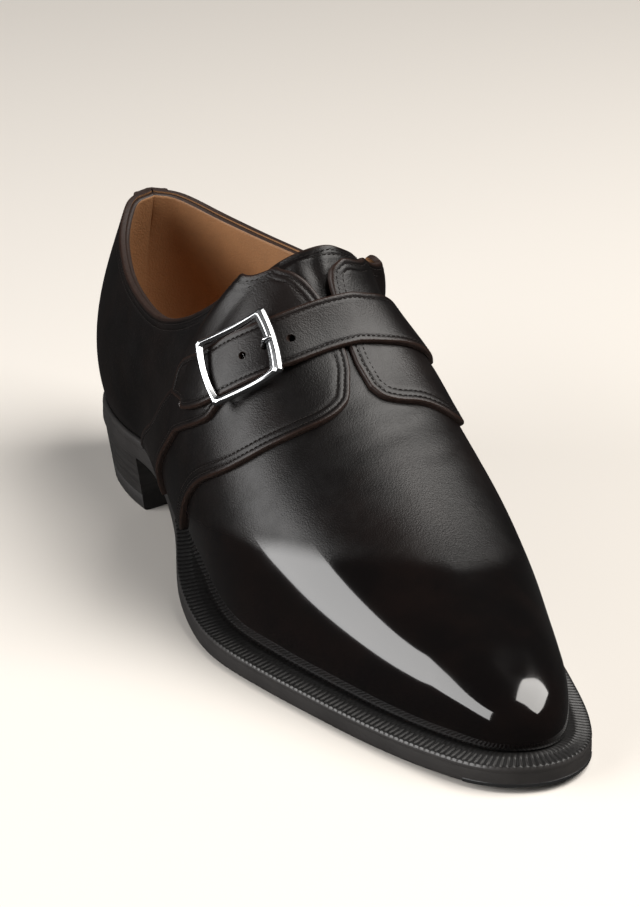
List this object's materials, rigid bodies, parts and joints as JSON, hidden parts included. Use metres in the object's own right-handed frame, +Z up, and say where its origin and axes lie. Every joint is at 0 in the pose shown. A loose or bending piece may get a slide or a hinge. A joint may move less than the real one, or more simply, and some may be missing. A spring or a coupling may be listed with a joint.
{
  "type": "monk strap shoe",
  "caption": "Leather dress shoe for the right foot with an almond toe, a strap over the instep fastened by a side buckle, a welted leather sole and a low stacked heel.",
  "frame": {"origin": "centre of the heel's ground face", "axes": "+Z up, -Y towards the toe, +X towards the inner side of the foot; the buckle is on -X"},
  "size_m": [0.0983, 0.3124, 0.121],
  "materials": {
    "upper_calf": "polished",
    "quarter_calf": "polished",
    "strap_calf": "polished",
    "outsole_leather": "waxed edge",
    "welt_leather": "waxed",
    "heel_leather": "waxed edge",
    "top_piece_rubber": "matte",
    "insole_leather": "natural",
    "polished_steel": "polished"
  },
  "bodies": {
    "root": {"outsole": "outsole_leather", "welt": "welt_leather", "heel_rand": "welt_leather", "heel_stack": "heel_leather", "top_piece": "top_piece_rubber", "insole": "insole_leather", "upper": "upper_calf", "tongue": "upper_calf", "quarter_lateral": "quarter_calf", "quarter_medial": "quarter_calf", "band_lateral": "strap_calf", "band_medial": "strap_calf", "strap": "strap_calf", "heel_tab": "strap_calf", "buckle_frame": "polished_steel", "buckle_pin": "polished_steel", "buckle_prong": "polished_steel"}
  },
  "joints": []
}
